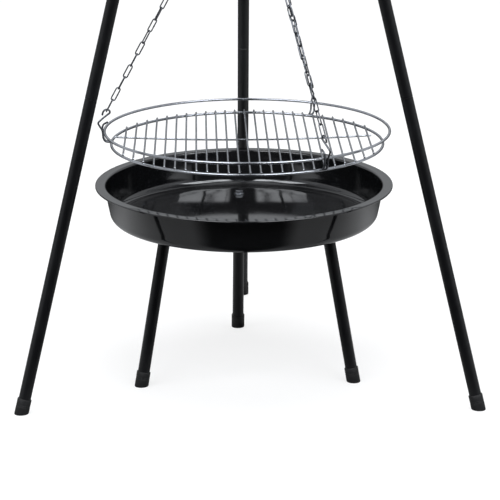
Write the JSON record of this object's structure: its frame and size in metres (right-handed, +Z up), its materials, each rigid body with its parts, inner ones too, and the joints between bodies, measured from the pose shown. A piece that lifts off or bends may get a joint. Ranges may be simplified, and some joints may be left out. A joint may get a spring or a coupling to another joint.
{
  "type": "campfire tripod grate",
  "caption": "Three-legged campfire tripod with a round chrome grate hung on chains over a free-standing enamelled fire bowl; the grate swings, turns and is set higher or lower.",
  "frame": {"origin": "on the ground, under the middle of the whole object's box", "axes": "+Z up; +X to the right and -Y towards the front, where the bowl is pulled out between the two front legs"},
  "size_m": [0.8474, 0.7518, 1.628],
  "materials": {
    "powder_coat": "satin black powder coat with fine orange peel",
    "cap_plastic": "moulded matt black plastic",
    "bowl_enamel": "glossy black enamel on pressed steel",
    "grate_chrome": "bright chromed wire with welded joints",
    "zinc_plate": "bright zinc plating"
  },
  "bodies": {
    "tripod": {"tripod_head": "powder_coat", "leg_lower_left": "powder_coat", "leg_lower_right": "powder_coat", "leg_lower_rear": "powder_coat", "leg_middle_left": "powder_coat", "leg_middle_right": "powder_coat", "leg_middle_rear": "powder_coat", "leg_upper_left": "powder_coat", "leg_upper_right": "powder_coat", "leg_upper_rear": "powder_coat", "foot_cap_left": "cap_plastic", "foot_cap_right": "cap_plastic", "foot_cap_rear": "cap_plastic"},
    "swivel": {"eye_bolt": "zinc_plate", "eye_washer": "zinc_plate", "eye_nut": "zinc_plate"},
    "hook": {"top_hook": "zinc_plate"},
    "chain": {"main_chain": "zinc_plate"},
    "grate": {"height_plate": "zinc_plate", "grate_chain_left": "zinc_plate", "grate_chain_right_rear": "zinc_plate", "grate_chain_right_front": "zinc_plate", "hanger_left": "grate_chrome", "hanger_right_rear": "grate_chrome", "hanger_right_front": "grate_chrome", "upper_ring": "grate_chrome", "cooking_grate": "grate_chrome"},
    "bowl": {"fire_bowl": "bowl_enamel", "bowl_leg_left": "powder_coat", "bowl_leg_right": "powder_coat", "bowl_leg_rear": "powder_coat", "bowl_leg_insert_left": "zinc_plate", "bowl_leg_insert_right": "zinc_plate", "bowl_leg_insert_rear": "zinc_plate", "bowl_foot_cap_left": "cap_plastic", "bowl_foot_cap_right": "cap_plastic", "bowl_foot_cap_rear": "cap_plastic", "bowl_washer_left": "zinc_plate", "bowl_washer_right": "zinc_plate", "bowl_washer_rear": "zinc_plate", "bowl_bolt_left": "zinc_plate", "bowl_bolt_right": "zinc_plate", "bowl_bolt_rear": "zinc_plate"}
  },
  "joints": [
    {"name": "eye_swivel", "type": "hinge", "parent": "tripod", "child": "swivel", "pos_m": [0, -0.11139, 1.6], "axis": [0, 0, 1], "continuous": true},
    {"name": "hook_swing", "type": "hinge", "parent": "swivel", "child": "hook", "pos_m": [0, -0.11139, 1.57778], "axis": [1, 0, 0], "range_deg": [-1.5, 1.5]},
    {"name": "chain_swing", "type": "hinge", "parent": "hook", "child": "chain", "pos_m": [0, -0.11139, 1.53808], "axis": [0, 1, 0], "range_deg": [-1.5, 1.5]},
    {"name": "grate_height", "type": "slide", "parent": "chain", "child": "grate", "axis": [0, 0, 1], "range_m": [-0.056, 0.112]},
    {"name": "bowl_slide", "type": "slide", "parent": "tripod", "child": "bowl", "axis": [0, -1, 0], "range_m": [0, 0.6]}
  ]
}
